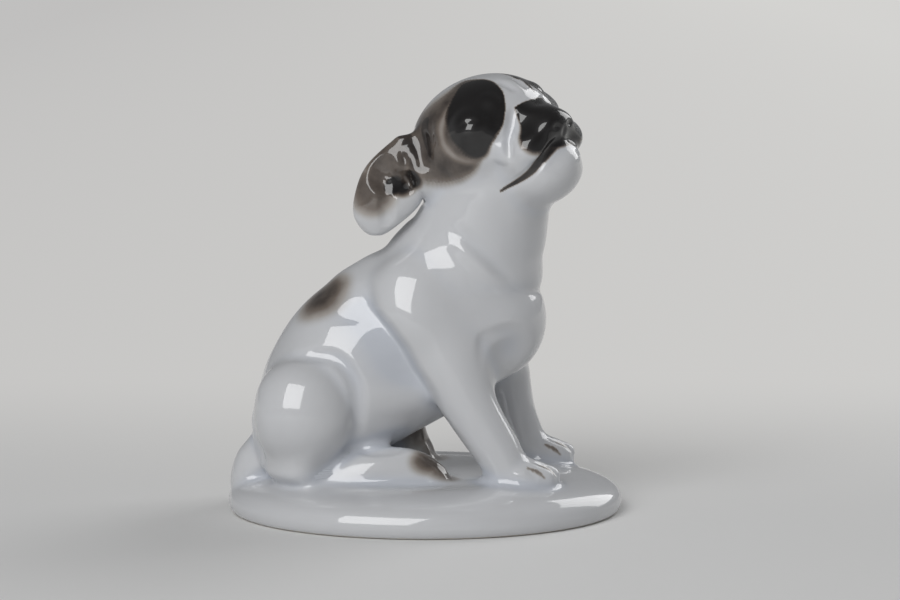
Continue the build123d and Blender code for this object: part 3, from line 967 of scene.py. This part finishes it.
# painted light on the glowing far paper: shaded on the left, lit on the right
FAR_SHADED_LEFT = (0.53, 0.525, 0.52)
FAR_LIT_RIGHT = (0.655, 0.65, 0.635)
FLOOR = ((-6, -3), (6, 9))   # its near left and far right corners, in metres
FAR_HALF_WIDTH = 0.4         # metres from the middle to where the far colours are pure
PAPER_ENDS = -0.03           # the Y from which the paper gives way to the far colours
FAR_STARTS = 0.2             # and the Y from which only they are left
LAMP_AIM = (0, 0, 0.05)
SKY = (0.97, 0.98, 1.0, 1)
SKY_AT_HORIZON = 0.27
SKY_OVERHEAD = 0.11
SKY_CHANGES = 0.6            # how steeply up a direction is where it's as overhead, to 1


def paper_floor(name):
    """A sheet of pale paper that runs out, for the camera, into a glowing background with painted
    light, darker to the left and lighter to the right.
    """
    mesh = bpy.data.meshes.new(name)
    (left, near_edge), (right, far_edge) = FLOOR
    corners = [(left, near_edge, 0), (right, near_edge, 0), (right, far_edge, 0),
               (left, far_edge, 0)]
    mesh.from_pydata(corners, [], [(0, 1, 2, 3)])
    thing = bpy.data.objects.new(name, mesh)
    bpy.context.scene.collection.objects.link(thing)
    nodes = Nodes("paper")
    place = nodes.add("ShaderNodeSeparateXYZ", {
        "Vector": nodes.add("ShaderNodeTexCoord").outputs["Object"]})
    cloud = nodes.spread(nodes.noise(6.0, 4.0), 0.3, 0.7, 0.0, 0.06)
    nodes.fill(nodes.shader, {"Base Color": nodes.blend(cloud, PAPER, PAPER_CLOUD),
                              "Roughness": 0.9, "Specular IOR Level": 0.15})
    # painted light: the far paper glows, darker on the left and brighter on the right
    sideways = nodes.spread(place.outputs["X"], -FAR_HALF_WIDTH, FAR_HALF_WIDTH, 0.0, 1.0)
    glow = nodes.add("ShaderNodeEmission", {"Color": nodes.blend(sideways, FAR_SHADED_LEFT, FAR_LIT_RIGHT)})
    rays = nodes.add("ShaderNodeLightPath")
    seen = nodes.maths("MAXIMUM", rays.outputs["Is Camera Ray"],
                       nodes.maths("MAXIMUM", rays.outputs["Is Glossy Ray"],
                                   rays.outputs["Is Transmission Ray"]))
    distance = nodes.spread(place.outputs["Y"], PAPER_ENDS, FAR_STARTS, 0.0, 1.0, "SMOOTHSTEP")
    far = nodes.maths("MULTIPLY", seen, distance)
    both = nodes.add("ShaderNodeMixShader", {0: far, 1: nodes.shader.outputs["BSDF"],
                                             2: glow.outputs["Emission"]})
    nodes.fill(nodes.tree.nodes["Material Output"], {"Surface": both.outputs["Shader"]})
    mesh.materials.append(nodes.material)


def softbox(name, azimuth, elevation, distance, wide, high, radiance):
    """A rectangular lamp that faces the puppy, its size given by the angles it fills."""
    azimuth, elevation = radians(azimuth), radians(elevation)
    direction = Vector((cos(elevation) * cos(azimuth), cos(elevation) * sin(azimuth),
                        sin(elevation)))
    lamp = bpy.data.lights.new(name, "AREA")
    lamp.shape = "RECTANGLE"
    lamp.size = 2 * distance * sin(radians(wide) / 2)
    lamp.size_y = 2 * distance * sin(radians(high) / 2)
    # in Blender an area lamp's radiance is a quarter of its power over its area
    lamp.energy = 4 * radiance * lamp.size * lamp.size_y
    thing = bpy.data.objects.new(name, lamp)
    thing.location = Vector(LAMP_AIM) + direction * distance
    thing.rotation_euler = direction.to_track_quat("Z", "Y").to_euler()
    bpy.context.scene.collection.objects.link(thing)


def studio(name):
    """A room that is paler near the horizon than overhead."""
    world = bpy.data.worlds.new(name)
    bpy.context.scene.world = world
    world.use_nodes = True
    tree = world.node_tree
    background = tree.nodes["Background"]
    background.inputs["Color"].default_value = SKY
    direction = tree.nodes.new("ShaderNodeTexCoord")
    parts = tree.nodes.new("ShaderNodeSeparateXYZ")
    falling = tree.nodes.new("ShaderNodeMapRange")
    falling.interpolation_type = "SMOOTHSTEP"
    for key, value in (("From Min", 0.0), ("From Max", SKY_CHANGES),
                       ("To Min", SKY_AT_HORIZON), ("To Max", SKY_OVERHEAD)):
        falling.inputs[key].default_value = value
    tree.links.new(direction.outputs["Generated"], parts.inputs["Vector"])
    tree.links.new(parts.outputs["Z"], falling.inputs["Value"])
    tree.links.new(falling.outputs["Result"], background.inputs["Strength"])


paper_floor("paper_floor")
softbox("left_softbox", azimuth=-115, elevation=33, distance=1.1, wide=38, high=50, radiance=3.4)
softbox("right_softbox", azimuth=38, elevation=30, distance=0.9, wide=36, high=40, radiance=2.2)
studio("studio")

CAMERA_TARGET = (5.6, 0.0, 47.7)
CAMERA_DISTANCE = 700.0
CAMERA_PITCH = radians(7.6)
FOCAL_LENGTH = 124.6
SENSOR_WIDTH = 36.0
camera_data = bpy.data.cameras.new("camera")
camera_data.lens = FOCAL_LENGTH
camera_data.sensor_width = SENSOR_WIDTH
camera = bpy.data.objects.new("camera", camera_data)
backwards = Vector((0, -cos(CAMERA_PITCH), sin(CAMERA_PITCH)))
camera.location = (Vector(CAMERA_TARGET) + backwards * CAMERA_DISTANCE) * MM
camera.rotation_euler = Euler((pi / 2 - CAMERA_PITCH, 0, 0))
bpy.context.scene.collection.objects.link(camera)
bpy.context.scene.camera = camera
bpy.context.scene.view_settings.view_transform = "Standard"
